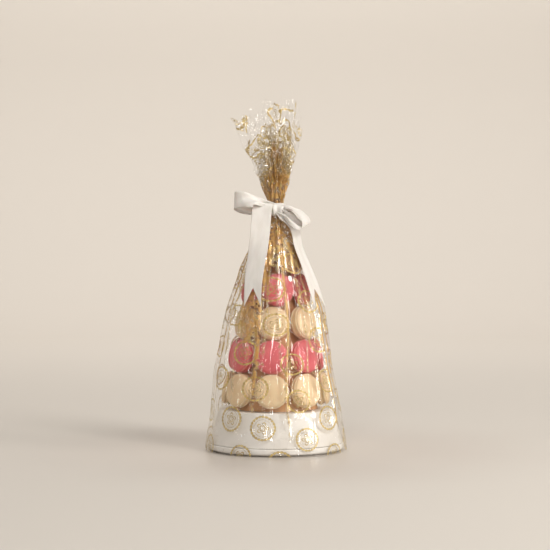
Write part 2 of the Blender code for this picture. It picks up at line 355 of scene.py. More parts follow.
class Wire:
    """A shader socket that takes part in sums."""

    def __init__(self, graph: Graph, socket: bpy.types.NodeSocket) -> None:
        """Wraps a socket.

        Args:
            graph: The graph that it is in.
            socket: The output socket.
        """
        self.graph = graph
        self.socket = socket

    def maths(self, operation: str, *values: Wire | float) -> Wire:
        """Adds one Math node.

        Args:
            operation: The node's operation.
            *values: Its inputs in order.

        Returns:
            Its result.
        """
        inputs = dict(enumerate(values))
        return self.graph.node("ShaderNodeMath", {"operation": operation}, inputs)

    def __add__(self, other: Wire | float) -> Wire:
        """Sum."""
        return self.maths("ADD", self, other)

    __radd__ = __add__

    def __sub__(self, other: Wire | float) -> Wire:
        """Difference."""
        return self.maths("SUBTRACT", self, other)

    def __rsub__(self, other: float) -> Wire:
        """Difference from a number."""
        return self.maths("SUBTRACT", other, self)

    def __mul__(self, other: Wire | float) -> Wire:
        """Product."""
        return self.maths("MULTIPLY", self, other)

    __rmul__ = __mul__

    def __truediv__(self, other: Wire | float) -> Wire:
        """Quotient."""
        return self.maths("DIVIDE", self, other)

    def __pow__(self, other: float) -> Wire:
        """Power."""
        return self.maths("POWER", self, other)

    def __mod__(self, other: float) -> Wire:
        """Remainder, never negative."""
        return self.maths("FLOORED_MODULO", self, other)

    def __abs__(self) -> Wire:
        """Size without its sign."""
        return self.maths("ABSOLUTE", self)

    def floor(self) -> Wire:
        """Whole number below."""
        return self.maths("FLOOR", self)

    def cosine(self) -> Wire:
        """Cosine of an angle in radians."""
        return self.maths("COSINE", self)

    def most(self, other: Wire | float) -> Wire:
        """The larger of two values."""
        return self.maths("MAXIMUM", self, other)

    def least(self, other: Wire | float) -> Wire:
        """The smaller of two values."""
        return self.maths("MINIMUM", self, other)

    def step(self, low: float, high: float) -> Wire:
        """Eased share of a range.

        Args:
            low: Where the share is 0.
            high: Where it is 1.

        Returns:
            The share.
        """
        settings = {"interpolation_type": "SMOOTHSTEP"}
        inputs = {"Value": self, "From Min": low, "From Max": high}
        return self.graph.node("ShaderNodeMapRange", settings, inputs)


class Graph:
    """The node tree of one material."""

    def __init__(self, name: str) -> None:
        """Starts an empty material.

        Args:
            name: The material's name.
        """
        self.material = bpy.data.materials.new(name)
        self.material.use_nodes = True
        self.tree = self.material.node_tree
        self.tree.nodes.clear()

    def node(
        self,
        kind: str,
        settings: dict[str, object] | None = None,
        inputs: dict[str | int, object] | None = None,
        output: str | int = 0,
    ) -> Wire:
        """Adds a node of any type.

        Args:
            kind: The node's type.
            settings: Its properties, set first.
            inputs: The values or links of its sockets, by name or number.
            output: The socket that is handed back.

        Returns:
            That output.
        """
        made = self.tree.nodes.new(kind)
        for key, value in (settings or {}).items():
            setattr(made, key, value)
        for key, value in (inputs or {}).items():
            socket = made.inputs[key]
            if isinstance(value, Wire):
                self.tree.links.new(value.socket, socket)
            elif isinstance(value, tuple) and len(value) == 3 and socket.type == "RGBA":
                socket.default_value = (*value, 1.0)
            else:
                socket.default_value = value
        return Wire(self, made.outputs[output])

    def place(self) -> Wire:
        """The object's own coordinates."""
        return self.node("ShaderNodeTexCoord", output="Object")

    def sheet_map(self, name: str) -> Wire:
        """One of a sheet's UV maps: flat, in metres, or run, in shares across and along."""
        return self.node("ShaderNodeUVMap", {"uv_map": name})

    def attribute(self, name: str) -> Wire:
        """A number that the mesh stores at its vertices."""
        return self.node("ShaderNodeAttribute", {"attribute_name": name}, output="Fac")

    def parts(self, vector: Wire) -> tuple[Wire, Wire, Wire]:
        """The three numbers of a vector.

        Args:
            vector: The vector.

        Returns:
            Its x, y and z.
        """
        x = self.node("ShaderNodeSeparateXYZ", inputs={"Vector": vector}, output="X")
        owner = x.socket.node
        return x, Wire(self, owner.outputs["Y"]), Wire(self, owner.outputs["Z"])

    def vector(self, x: Wire | float, y: Wire | float, z: Wire | float = 0.0) -> Wire:
        """A vector of three values."""
        return self.node("ShaderNodeCombineXYZ", inputs={"X": x, "Y": y, "Z": z})

    def stretched(self, vector: Wire, scale: Scale) -> Wire:
        """A vector scaled on each axis."""
        return self.node("ShaderNodeMapping", inputs={"Vector": vector, "Scale": scale})

    def grain(self, vector: Wire, scale: float, detail: float = 2.0, rough: float = 0.5) -> Wire:
        """Noise of a given scale, from 0 to 1."""
        inputs = {"Vector": vector, "Scale": scale, "Detail": detail, "Roughness": rough}
        return self.node("ShaderNodeTexNoise", inputs=inputs, output="Fac")

    def blend(self, share: Wire | float, first: Wire | Colour, second: Wire | Colour) -> Wire:
        """Colour between two colours.

        Args:
            share: From 0 for the first to 1 for the second.
            first: The first colour.
            second: The second colour.

        Returns:
            The colour.
        """
        settings = {"data_type": "RGBA", "clamp_factor": True}
        inputs = {0: share, 6: first, 7: second}
        return self.node("ShaderNodeMix", settings, inputs, output=2)

    def bump(self, height: Wire, strength: float, distance: float, under: Wire | None = None) -> Wire:
        """Normal of a relief.

        Args:
            height: The relief's height, from 0 to 1.
            strength: How much of it shows.
            distance: Its height in metres.
            under: A coarser relief that it lies on.

        Returns:
            The bent normal.
        """
        inputs = {"Height": height, "Strength": strength, "Distance": distance}
        if under is not None:
            inputs["Normal"] = under
        return self.node("ShaderNodeBump", inputs=inputs)

    def surface(self, **sockets: object) -> bpy.types.Material:
        """Ends the material in a Principled BSDF.

        Args:
            **sockets: Values or links of its sockets, with underscores for the spaces in their names.

        Returns:
            The finished material.
        """
        inputs = {name.replace("_", " "): value for name, value in sockets.items()}
        shader = self.node("ShaderNodeBsdfPrincipled", inputs=inputs)
        end = self.tree.nodes.new("ShaderNodeOutputMaterial")
        self.tree.links.new(shader.socket, end.inputs["Surface"])
        return self.material


# Finishes


@dataclass(frozen=True)
class CoveredBoard:
    """White paper stretched over board: faint fibres, soft sheen, a little wear."""

    name: str = "covered_board"
    colour: Colour = srgb(246, 243, 238)
    shade: Colour = srgb(235, 230, 222)

    def material(self) -> bpy.types.Material:
        """Builds the material."""
        graph = Graph(self.name)
        place = graph.place()
        cloud = graph.grain(place, 22.0, 3.0)
        fibre = graph.grain(graph.stretched(place, (1.0, 1.0, 3.0)), 900.0, 3.0, 0.6)
        return graph.surface(
            Base_Color=graph.blend(cloud.step(0.3, 0.75), self.colour, self.shade),
            Roughness=0.36 + 0.14 * fibre,
            Normal=graph.bump(fibre, 0.35, 0.12 * MM),
            Specular_IOR_Level=0.5,
        )


@dataclass(frozen=True)
class ConePaper:
    """Tan paper of the cone, rolled round: flecks and long faint fibres."""

    name: str = "cone_paper"
    colour: Colour = srgb(204, 152, 106)
    light: Colour = srgb(220, 172, 128)
    fleck: Colour = srgb(160, 112, 66)

    def material(self) -> bpy.types.Material:
        """Builds the material."""
        graph = Graph(self.name)
        place = graph.place()
        cloud = graph.grain(place, 40.0, 3.0)
        fibre = graph.grain(graph.stretched(place, (1.0, 1.0, 0.25)), 1400.0, 3.0, 0.6)
        fleck = graph.grain(place, 700.0, 1.0).step(0.68, 0.78)
        tone = graph.blend(cloud.step(0.3, 0.7), self.colour, self.light)
        return graph.surface(
            Base_Color=graph.blend(fleck * 0.6, tone, self.fleck),
            Roughness=0.62 + 0.2 * fibre,
            Normal=graph.bump(fibre, 0.5, 0.15 * MM),
        )


@dataclass(frozen=True)
class BakedShell:
    """Macaron shell: smooth dull dome with fine specks, and a paler bubbly foot."""

    name: str
    colour: Colour
    light: Colour
    foot: Colour
    speck: Colour

    def material(self) -> bpy.types.Material:
        """Builds the material."""
        graph = Graph(self.name)
        place = graph.place()
        foot = graph.attribute("foot")
        batch = graph.grain(place, 24.0, 1.0).step(0.3, 0.7)
        cloud = graph.grain(place, 110.0, 3.0).step(0.25, 0.8)
        speck = graph.grain(place, 1500.0, 1.0).step(0.66, 0.76)
        crumb = graph.grain(place, 850.0, 3.0, 0.65)
        tone = graph.blend(cloud * 0.6 + batch * 0.4, self.colour, self.light)
        tone = graph.blend(speck * 0.3, tone, self.speck)
        fine = graph.bump(crumb, 0.25, 0.12 * MM)
        bubbles = {"Vector": place, "Scale": 900.0}
        pores = graph.node("ShaderNodeTexVoronoi", inputs=bubbles, output="Distance")
        return graph.surface(
            Base_Color=graph.blend(foot * (0.45 + 0.5 * crumb), tone, self.foot),
            Roughness=0.5 + 0.12 * cloud + 0.2 * foot,
            Normal=graph.bump(pores * foot, 0.6, 0.35 * MM, fine),
            Subsurface_Weight=0.08,
            Subsurface_Scale=0.004,
            Sheen_Weight=0.12,
        )


@dataclass(frozen=True)
class Cream:
    """Filling between two shells: soft, a little glossy, spread by a palette knife."""

    name: str
    colour: Colour
    shade: Colour

    def material(self) -> bpy.types.Material:
        """Builds the material."""
        graph = Graph(self.name)
        place = graph.place()
        swirl = graph.grain(place, 260.0, 3.0)
        return graph.surface(
            Base_Color=graph.blend(swirl.step(0.35, 0.7), self.colour, self.shade),
            Roughness=0.38 + 0.15 * swirl,
            Normal=graph.bump(swirl, 0.4, 0.3 * MM),
            Subsurface_Weight=0.12,
            Subsurface_Scale=0.004,
        )


@dataclass(frozen=True)
class PrintedFilm:
    """Thin clear film that mirrors a little, with gold rings printed in a staggered, uneven spread.

    The pattern reads the film's own UV map, in metres of the flat sheet. Where the film's gather
    attribute says that it lies in several layers, the print of those layers is drawn too.
    """

    name: str = "printed_film"
    clear: Colour = (0.97, 0.97, 0.96)
    # Painted shade: the darker, warmer colour the film takes where it is seen edge-on, standing in for the
    # light it bends and reflects there.
    grazing_shade: Colour = srgb(190, 164, 108)
    gold: Colour = srgb(216, 190, 112)
    dark_gold: Colour = srgb(174, 142, 70)
    amber: Colour = srgb(198, 146, 68)
    umber: Colour = srgb(152, 108, 48)
    pitch_across: float = 54 * MM
    pitch_along: float = 43 * MM
    scatter: float = 14 * MM
    wreath_radius: float = 14.4 * MM
    wreath_half: float = 1.6 * MM
    leaves: int = 22
    inner_radius: float = 10.6 * MM
    petals: int = 5
    rosette_radius: float = 7.8 * MM
    facet_depth: float = 1.3 * MM
    long_facets: Scale = (30.0, 7.0, 1.0)
    long_depth: float = 0.6
    small_facets: Scale = (70.0, 52.0, 1.0)
    small_depth: float = 3.0
    crushed_spots: Scale = (16.0, 13.0, 1.0)
    ink_cover: float = 0.95
    ink_alpha: float = 0.86

    def printed(self, graph: Graph, u: Wire, v: Wire) -> Wire:
        """Where one layer's gold lies.

        Args:
            graph: The material's graph.
            u: Metres across the flat sheet.
            v: Metres along it.

        Returns:
            A mask from 0 to 1.
        """
        row = (v / self.pitch_along).floor()
        shifted = u / self.pitch_across + (row % 2.0) * 0.5
        column = shifted.floor()
        cell = graph.vector(column, row)
        luck = graph.node("ShaderNodeTexWhiteNoise", {"noise_dimensions": "2D"}, {"Vector": cell}, "Color")
        luck_x, luck_y, luck_z = graph.parts(luck)
        x = (shifted - column - 0.5) * self.pitch_across - (luck_x - 0.5) * self.scatter
        y = (v - (row + 0.5) * self.pitch_along) - (luck_y - 0.5) * (self.scatter * 0.6)
        radius = (x * x + y * y) ** 0.5 / (0.90 + 0.18 * luck_z)
        angle = x.maths("ARCTAN2", y, x) + luck_z * math.tau
        soft = 0.3 * MM

        leaf = abs((angle * (self.leaves / 2)).cosine())
        lean = abs((angle * (self.leaves / 2) + radius * 900.0).cosine())
        band = abs(radius - self.wreath_radius) - self.wreath_half * (0.45 + 0.55 * leaf)
        wreath = (1 - band.step(-soft, soft)) * (0.5 + 0.5 * lean.step(0.1, 0.3))
        thread = 1 - abs(radius - self.inner_radius).step(0.1 * MM, 0.55 * MM)
        petal = 0.36 + 0.64 * abs((angle * (self.petals / 2)).cosine())
        bloom = radius / self.rosette_radius
        flower = 1 - (abs(bloom - petal * 0.94)).step(0.05, 0.12)
        stamen = 1 - abs(bloom - petal * 0.5).step(0.04, 0.10)
        return wreath.most(thread * 0.7).most(flower).most(stamen)

    def facets(self, graph: Graph, run: Wire, scale: Scale) -> Wire:
        """Relief of the flat facets that crisp film breaks into, each tilted its own way.

        Args:
            graph: The material's graph.
            run: Shares across and along the film.
            scale: How many facets there are each way.

        Returns:
            The relief's height.
        """
        place = graph.stretched(run, scale)
        flat = {"voronoi_dimensions": "2D"}
        cells = graph.node("ShaderNodeTexVoronoi", flat, {"Vector": place, "Scale": 1.0}, "Position")
        colour = Wire(graph, cells.socket.node.outputs["Color"])
        x, y, _ = graph.parts(place)
        cell_x, cell_y, _ = graph.parts(cells)
        tilt_x, tilt_y, _ = graph.parts(colour)
        return (x - cell_x) * (tilt_x - 0.5) + (y - cell_y) * (tilt_y - 0.5)

    def relief(self, graph: Graph, run: Wire) -> Wire:
        """Relief of the film: long flat facets all over, and small steep ones where it was crushed.

        Args:
            graph: The material's graph.
            run: Shares across and along the film.

        Returns:
            The relief's height.
        """
        crushed = graph.grain(graph.stretched(run, self.crushed_spots), 1.0, 1.0).step(0.53, 0.58)
        long = self.long_depth * self.facets(graph, run, self.long_facets)
        return long + self.small_depth * crushed * self.facets(graph, run, self.small_facets)

    def layers(self, graph: Graph, uv: Wire, gather: Wire) -> Wire:
        """Where gold lies on any of the layers that the film is gathered into.

        Args:
            graph: The material's graph.
            uv: The flat sheet's coordinates.
            gather: The number of layers.

        Returns:
            A mask from 0 to 1.
        """
        u, v, _ = graph.parts(uv)
        mask = self.printed(graph, u, v)
        wander = {"Vector": uv, "Scale": 70.0, "Detail": 2.0}
        drift = graph.node("ShaderNodeTexNoise", inputs=wander, output="Color")
        drift_x, drift_y, drift_z = graph.parts(drift)
        for shift, drift_share, low, high in ((0.031, drift_x, 1.4, 2.6), (0.077, drift_z, 2.9, 4.4)):
            extra = self.printed(graph, u + shift + 0.05 * drift_share, v + 0.6 * shift + 0.04 * drift_y)
            mask = mask.most(extra * gather.step(low, high) * self.ink_cover)
        crowd = graph.grain(graph.place(), 210.0, 4.0, 0.65)
        cover = gather.step(1.6, 4.2)
        return mask.most(cover * (crowd + 0.12 * cover).step(0.54, 0.6) * self.ink_cover)

    def material(self) -> bpy.types.Material:
        """Builds the material."""
        graph = Graph(self.name)
        flat = graph.sheet_map("flat")
        run = graph.sheet_map("run")
        gather = graph.attribute("gather")
        gold = self.layers(graph, flat, gather)
        tone = graph.grain(flat, 260.0, 2.0).step(0.35, 0.65)
        mottle = graph.grain(graph.stretched(graph.place(), (1.0, 1.0, 0.5)), 230.0, 3.0, 0.6)
        ripple = graph.grain(graph.stretched(run, (60.0, 3.0, 1.0)), 1.0, 1.0, 0.4)
        normal = graph.bump(self.relief(graph, run), 1.0, self.facet_depth)
        normal = graph.bump(ripple, 0.5, 1.0 * MM, normal)
        tilt = {"Blend": 0.5, "Normal": normal}
        facing = graph.node("ShaderNodeLayerWeight", inputs=tilt, output="Facing")
        # Where the film is seen edge-on, its colour turns to the painted darker shade.
        clear = graph.blend(facing**4.0, self.clear, self.grazing_shade)
        clear_alpha = 0.03 + 0.025 * gather.least(2.0) + 0.7 * facing**4.0
        ink = graph.blend(tone, self.gold, self.dark_gold)
        ink = graph.blend(gather.step(2.4, 5.5) * mottle.step(0.3, 0.5), ink, self.amber)
        ink = graph.blend(gather.step(3.0, 8.0) * mottle.step(0.48, 0.64), ink, self.umber)
        return graph.surface(
            Base_Color=graph.blend(gold, clear, ink),
            Metallic=(1 - 0.8 * gold) * (1 - 0.7 * facing**4.0),
            Roughness=0.05 + 0.3 * gold,
            Alpha=clear_alpha + (self.ink_alpha - clear_alpha) * gold,
            Normal=normal,
        )


@dataclass(frozen=True)
class Satin:
    """White satin ribbon: fine threads along its length, a silky sheen and a denser woven edge.

    The pattern reads the ribbon's own UV map, in metres across and along.
    """

    name: str = "white_satin"
    colour: Colour = srgb(230, 225, 220)
    shade: Colour = srgb(215, 208, 201)
    width: float = 25 * MM
    edge: float = 1.1 * MM

    def material(self) -> bpy.types.Material:
        """Builds the material."""
        graph = Graph(self.name)
        uv = graph.sheet_map("flat")
        u, _, _ = graph.parts(uv)
        thread = graph.grain(graph.stretched(uv, (1.0, 0.03, 1.0)), 3200.0, 2.0)
        cloud = graph.grain(graph.stretched(uv, (1.0, 0.3, 1.0)), 110.0, 2.0)
        edge = 1 - u.least(self.width - u).step(self.edge * 0.6, self.edge)
        tone = graph.blend(cloud.step(0.3, 0.75) * 0.7 + 0.3 * edge, self.colour, self.shade)
        return graph.surface(
            Base_Color=tone,
            Roughness=0.34 + 0.12 * thread + 0.16 * edge,
            Normal=graph.bump(thread + edge * 0.5, 0.3, 0.08 * MM),
            Sheen_Weight=0.35,
            Sheen_Roughness=0.4,
            Anisotropic=0.5,
            Subsurface_Weight=0.05,
            Subsurface_Scale=0.003,
        )


@dataclass(frozen=True)
class PlainStage:
    """Plain finish of the stage: a grey floor with a little gloss that fades into pale matt paper."""

    name: str = "plain_stage"
    floor: Colour = srgb(196, 188, 180)
    backdrop: Colour = srgb(206, 200, 192)
    patch: tuple[float, float] = (0.10, 0.40)

    def material(self) -> bpy.types.Material:
        """Builds the material."""
        graph = Graph(self.name)
        x, y, _ = graph.parts(graph.place())
        far = ((x * x + y * y) ** 0.5).step(*self.patch)
        return graph.surface(
            Base_Color=graph.blend(far, self.floor, self.backdrop),
            Roughness=0.28 + 0.52 * far,
            Specular_IOR_Level=0.3,
        )


class Flavour(Enum):
    """The macarons' flavours, named as the frame's material slots are."""

    ALMOND = "almond"
    RASPBERRY = "raspberry"
    CARAMEL = "caramel"

    def shell(self) -> BakedShell:
        """The finish of this flavour's shells."""
        colours = {
            Flavour.ALMOND: ((236, 206, 162), (246, 222, 182), (246, 226, 192), (190, 146, 98)),
            Flavour.RASPBERRY: ((224, 94, 105), (236, 124, 128), (238, 152, 146), (160, 52, 62)),
            # The caramel shells are the beige of the almond shells darkened with painted shade, for the top
            # ring that lies in shade under the ribbon and the gathered film.
            Flavour.CARAMEL: ((190, 144, 96), (206, 162, 114), (214, 176, 130), (140, 96, 56)),
        }
        return BakedShell(f"{self.value}_shell", *(srgb(*colour) for colour in colours[self]))

    def cream(self) -> Cream:
        """The finish of this flavour's filling."""
        name = f"{self.value}_cream"
        if self is Flavour.RASPBERRY:
            return Cream(name, srgb(168, 48, 58), srgb(136, 32, 44))
        return Cream(name, srgb(216, 164, 108), srgb(190, 132, 78))


# Handing pieces to the frame


def dress(obj: bpy.types.Object, material: bpy.types.Material) -> bpy.types.Object:
    """Gives an object one material all over.

    Args:
        obj: The object.
        material: The material.

    Returns:
        The object.
    """
    obj.data.materials.clear()
    obj.data.materials.append(material)
    return obj


def hand_over(obj: bpy.types.Object, slot: str, *nodes: str) -> bpy.types.Object:
    """Lets a piece ride on the part and stand for nodes of it.

    Args:
        obj: The finished piece.
        slot: The frame's material slot. Not used.
        *nodes: The nodes that it stands for.

    Returns:
        The piece.
    """
    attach(obj, BODY)
    if nodes:
        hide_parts(*nodes)
    LOG.info("%s: %d faces, stands for %s", obj.name, len(obj.data.polygons), ", ".join(nodes) or "nothing")
    return obj


# Sub-assemblies


@dataclass
class Base:
    """The board on its recessed foot, and the tapered drum on it, with rounded edges."""

    board_radius: float = 87.5 * MM
    board_height: float = 9.5 * MM
    drum_foot_radius: float = 86.0 * MM
    drum_top_radius: float = 73.5 * MM
    drum_top: float = 53.0 * MM
    gap: float = 0.3 * MM
    rounding: float = 1.3 * MM
    board_edge_rounding: float = 2.6 * MM
    foot_height: float = 2.0 * MM
    foot_inset: float = 8.0 * MM
    dip: float = 0.25 * MM
    middle: float = 0.3
    sharp_angle: float = 40.0
    segments: int = 160
    finish: CoveredBoard = field(default_factory=CoveredBoard)

    def rounded(self, top: tuple[float, float], bottom: tuple[float, float, float], dip: float) -> Profile:
        """Outline of a disc with rounded edges.

        Args:
            top: Radius and height of the upper edge.
            bottom: Radius and height of the lower edge, and how far it is rounded.
            dip: How far the flat top lies under the edge.

        Returns:
            The outline from the top's middle to the bottom's middle.
        """
        flat, round_top = top[1] - dip, self.rounding
        reach, foot, round_foot = bottom
        outline = [(self.middle * top[0], flat), (0.9 * top[0], flat)]
        outline += arc((top[0] - round_top, top[1] - round_top), (round_top, round_top), 90.0, 18.0, 6)
        outline += arc((reach - round_foot, foot + round_foot), (round_foot, round_foot), 0.0, 18.0, 6)
        return [*outline, (self.middle * reach, foot)]

    def build(self) -> None:
        """Builds the board and the drum."""
        material = self.finish.material()
        edge = (self.board_radius, self.foot_height, self.board_edge_rounding)
        outline = self.rounded((self.board_radius, self.board_height), edge, 0.0)
        foot_radius = self.board_radius - self.foot_inset
        outline[-1] = (foot_radius, self.foot_height)
        outline += [(foot_radius, 0.0), (self.middle * foot_radius, 0.0)]
        board = turned("board", outline, self.segments)
        foot = (self.drum_foot_radius, self.board_height + self.gap, self.rounding)
        outline = self.rounded((self.drum_top_radius, self.drum_top), foot, self.dip)
        drum = turned("drum", outline, self.segments)
        for obj, node in ((board, "base_board"), (drum, "base_drum")):
            shade_smooth(obj, self.sharp_angle)
            hand_over(dress(obj, material), "white_board", node)


@dataclass
class Cone:
    """The paper cone: rolled round, with the sheet's edge lapping over itself, and a blunt tip."""

    base_radius: float = 54.3 * MM
    foot: float = 53.3 * MM
    slope: float = 0.2
    drum_top: float = 53.0 * MM
    tip: float = 286.0 * MM
    tip_round: float = 3.0 * MM
    lap: float = 0.4 * MM
    lap_turn: float = 1.9
    ripple: float = 0.15 * MM
    segments: int = 144
    rows: int = 24
    finish: ConePaper = field(default_factory=ConePaper)

    def radius(self, height: float) -> float:
        """Radius of the cone at a height."""
        return self.base_radius - self.slope * (height - self.drum_top)

    def build(self) -> None:
        """Builds the cone."""
        shoulder = self.tip - self.tip_round
        tip_radius = self.radius(shoulder)
        profile = [(tip_radius * 0.25, self.tip)]
        profile += arc((tip_radius * 0.35, shoulder), (tip_radius * 0.65, self.tip_round), 72.0, 18.0, 5)
        for i in range(1, self.rows + 1):
            height = shoulder + (self.foot - shoulder) * i / self.rows
            profile.append((self.radius(height), height))
        profile.append((self.base_radius * 0.3, self.foot))
        cone = turned("paper_cone", profile, self.segments)

        def rolled(point: Vector) -> Vector:
            """Shift that laps the sheet's edge over itself."""
            turn = (math.atan2(point.y, point.x) - self.lap_turn) % math.tau
            out = -self.lap * turn / math.tau
            ripple = self.ripple * noise.noise(point * 60)
            away = Vector((point.x, point.y, 0.0))
            return away.normalized() * (out + ripple) if away.length > 1 * MM else Vector()

        push(cone, rolled)
        shade_smooth(cone, 40.0)
        hand_over(dress(cone, self.finish.material()), "kraft_paper", "cone")


@dataclass
class Macaron:
    """Where one macaron of the frame lies and how large it is."""

    node: str
    centre: Vector
    facing: Vector
    radius: float
    thickness: float

    @classmethod
    def of_node(cls, node: str, obj: bpy.types.Object) -> Macaron:
        """Measures a macaron on its solid.

        Args:
            node: The node's name.
            obj: The node's object.

        Returns:
            Its place and size.
        """
        points = np.array([vertex.co for vertex in obj.data.vertices])
        middle = points.mean(axis=0)
        _, _, axes = np.linalg.svd(points - middle, full_matrices=False)
        facing = Vector(axes[2])
        if facing.x * middle[0] + facing.y * middle[1] < 0:
            facing = -facing
        depths = (points - middle) @ np.array(facing)
        centre = Vector(middle) + facing * float(depths.max() + depths.min()) / 2
        flat = (points - middle) - np.outer(depths, np.array(facing))
        radius = float(np.linalg.norm(flat, axis=1).max())
        return cls(node, centre, facing, radius, float(depths.max() - depths.min()))


@dataclass
class MacaronTower:
    """All the macarons. Three models are made, and each macaron is a copy that is fitted to its node."""

    models: int = 3
    segments: int = 132
    model_radius: float = 21.0 * MM
    model_thickness: float = 18.2 * MM
    filling_half: float = 2.0 * MM
    foot_height: float = 2.3 * MM
    foot_bulge: float = 0.55 * MM
    dome_radius: float = 0.955
    sink: float = 0.05 * MM
    unevenness: float = 0.22 * MM
    seed: int = 11

    def shell_profile(self) -> Profile:
        """Outline of the upper shell, from the dome's middle to the middle of its underside."""
        radius, half = self.model_radius, self.model_thickness / 2
        edge = radius * self.dome_radius
        foot_top = self.filling_half + self.foot_height
        height = half - foot_top
        outline = []
        for i in range(1, 12):
            angle = math.radians(90.0 * i / 11)
            out = math.sin(angle) ** 0.86
            up = max(math.cos(angle), 0.0) ** 0.72
            outline.append((edge * out, foot_top + height * up))
        outline.append((edge * 0.985, foot_top - 0.1 * MM))
        rise = 0.46 * self.foot_height
        bulge = self.foot_bulge
        outline += arc((radius - bulge, self.filling_half + rise), (bulge, rise), 60.0, 26.0, 6)
        under = self.filling_half - self.sink
        return [*outline, (edge * 0.9, under), (edge * 0.3, under)]

    def shell(self, name: str, seed: float) -> bpy.types.Object:
        """One shell with its ruffled foot, above the plane of the filling.

        Args:
            name: The object's name.
            seed: What sets this shell's ruffles apart.

        Returns:
            The shell, with its foot attribute.
        """
        shell = turned(name, self.shell_profile(), self.segments)
        foot_top = self.filling_half + self.foot_height
        weights = shell.data.attributes.new("foot", "FLOAT", "POINT")
        for vertex in shell.data.vertices:
            point = vertex.co
            outward = math.hypot(point.x, point.y)
            on_foot = smooth_step(foot_top + 0.1 * MM, foot_top - 0.5 * MM, point.z)
            on_foot *= smooth_step(self.model_radius * 0.86, self.model_radius * 0.94, outward)
            weights.data[vertex.index].value = on_foot
            if on_foot > 0:
                turn = math.atan2(point.y, point.x)
                where = polar(9.0, turn, point.z / MM * 0.55 + seed)
                frill = noise.noise(where * 2.1) * 0.55 + noise.noise(where * 5.3) * 0.3
                share = 1 + on_foot * frill * self.foot_bulge * 1.5 / outward
                lift = on_foot * frill * 0.35 * MM
                vertex.co = Vector((point.x * share, point.y * share, point.z + lift))
        return shell

    def filling(self, name: str, seed: float) -> bpy.types.Object:
        """The layer of cream, a little uneven at its edge.

        Args:
            name: The object's name.
            seed: What sets this layer's edge apart.

        Returns:
            The layer.
        """
        edge = self.model_radius * 0.935
        half = self.filling_half + self.sink
        profile = [(edge * 0.4, half), (edge * 0.93, half)]
        profile += arc((edge - 0.7 * MM, 0.0), (0.9 * MM, half), 75.0, 25.0, 7)
        profile += [(edge * 0.93, -half), (edge * 0.4, -half)]
        layer = turned(name, profile, self.segments)

        def uneven(point: Vector) -> Vector:
            """Shift in or out, by up to 3 percent of the radius."""
            where = polar(2.2, math.atan2(point.y, point.x), seed)
            return Vector((point.x, point.y, 0.0)) * noise.noise(where) * 0.03

        return push(layer, uneven)

    def model(self, number: int) -> bpy.types.Object:
        """One whole macaron, with its shells and its filling on two material slots.

        Args:
            number: What sets this model apart.

        Returns:
            The model, facing +Z.
        """
        name = f"macaron_model_{number}"
        upper = self.shell(f"{name}_upper", seed=3.7 * number)
        lower = self.shell(f"{name}_lower", seed=3.7 * number + 20)
        edit(lower)
        bpy.ops.transform.rotate(value=math.pi, orient_axis="X", center_override=(0.0, 0.0, 0.0))
        leave_edit()
        cream = self.filling(f"{name}_cream", seed=5.1 * number)
        for obj, slot in ((upper, 0), (lower, 0), (cream, 1)):
            for _ in range(2):
                obj.data.materials.append(None)
            for face in obj.data.polygons:
                face.material_index = slot
        cream.data.attributes.new("foot", "FLOAT", "POINT")
        select_only(upper, lower, cream)
        bpy.ops.object.join()
        return shade_smooth(named(name), 60.0)

    def fitted(self, model: bpy.types.Object, macaron: Macaron, roll: float) -> bpy.types.Object:
        """A copy of a model, scaled and turned onto a macaron's solid.

        Args:
            model: The model that is copied.
            macaron: The place and size.
            roll: How far it is turned about its own axis.

        Returns:
            The copy, named for the node.
        """
        select_only(model)
        bpy.ops.object.duplicate()
        copy = named(macaron.node.replace("macaron", "baked_macaron"))
        width = macaron.radius / self.model_radius
        depth = macaron.thickness / self.model_thickness
        turn = macaron.facing.to_track_quat("Z", "Y").to_matrix().to_4x4()
        size = Matrix.Diagonal((width, width, depth, 1.0))
        rolled = turn @ Matrix.Rotation(roll, 4, "Z")
        copy.data.transform(Matrix.Translation(macaron.centre) @ rolled @ size)

        def settled(point: Vector) -> Vector:
            """Shift that makes each macaron a little uneven."""
            return self.unevenness * noise.noise_vector(point * 55)

        return push(copy, settled)

    def build(self, nodes: dict[str, bpy.types.Object], flavours: dict[str, Flavour]) -> None:
        """Builds every macaron.

        Args:
            nodes: The frame's objects by name.
            flavours: The flavour of each macaron's node.
        """
        draw = random.Random(self.seed)
        noise.seed_set(self.seed)
        models = [self.model(number) for number in range(self.models)]
        finishes = {kind: (kind.shell().material(), kind.cream().material()) for kind in Flavour}
        for index, (node, flavour) in enumerate(flavours.items()):
            macaron = Macaron.of_node(node, nodes[node])
            piece = self.fitted(models[index % self.models], macaron, draw.uniform(0.0, math.tau))
            shell, cream = finishes[flavour]
            piece.data.materials[0] = shell
            piece.data.materials[1] = cream
            hand_over(piece, flavour.value, node)
        for model in models:
            bpy.data.objects.remove(model)


@dataclass(frozen=True)
class Crease:
    """One long fold of the film that runs down from the gather.

    The azimuth is in degrees from the front towards +X, and the sway turns it on its way down.
    """

    azimuth: float
    low: float
    size: float
    half_width: float
    layers: float = 1.0
    sway: float = 0.0

    def lift(self, turn: float, height: float, radius: float) -> float:
        """How far the fold stands out of the film at a point.

        Args:
            turn: The point's direction from +X.
            height: Its height.
            radius: Its distance from the axis.

        Returns:
            The fold's height there, in metres.
        """
        middle = math.radians(self.azimuth - 90 + self.sway * (0.3 - height) / 0.3)
        middle += 0.025 * math.sin(height * 40 + self.azimuth)
        away = (turn - middle + math.pi) % math.tau - math.pi
        across = away * radius / (self.half_width * MM)
        if abs(across) > 3:
            return 0.0
        ease = smooth_step(self.low - 0.03, self.low + 0.04, height)
        return self.size * MM * math.exp(-across * across) * ease


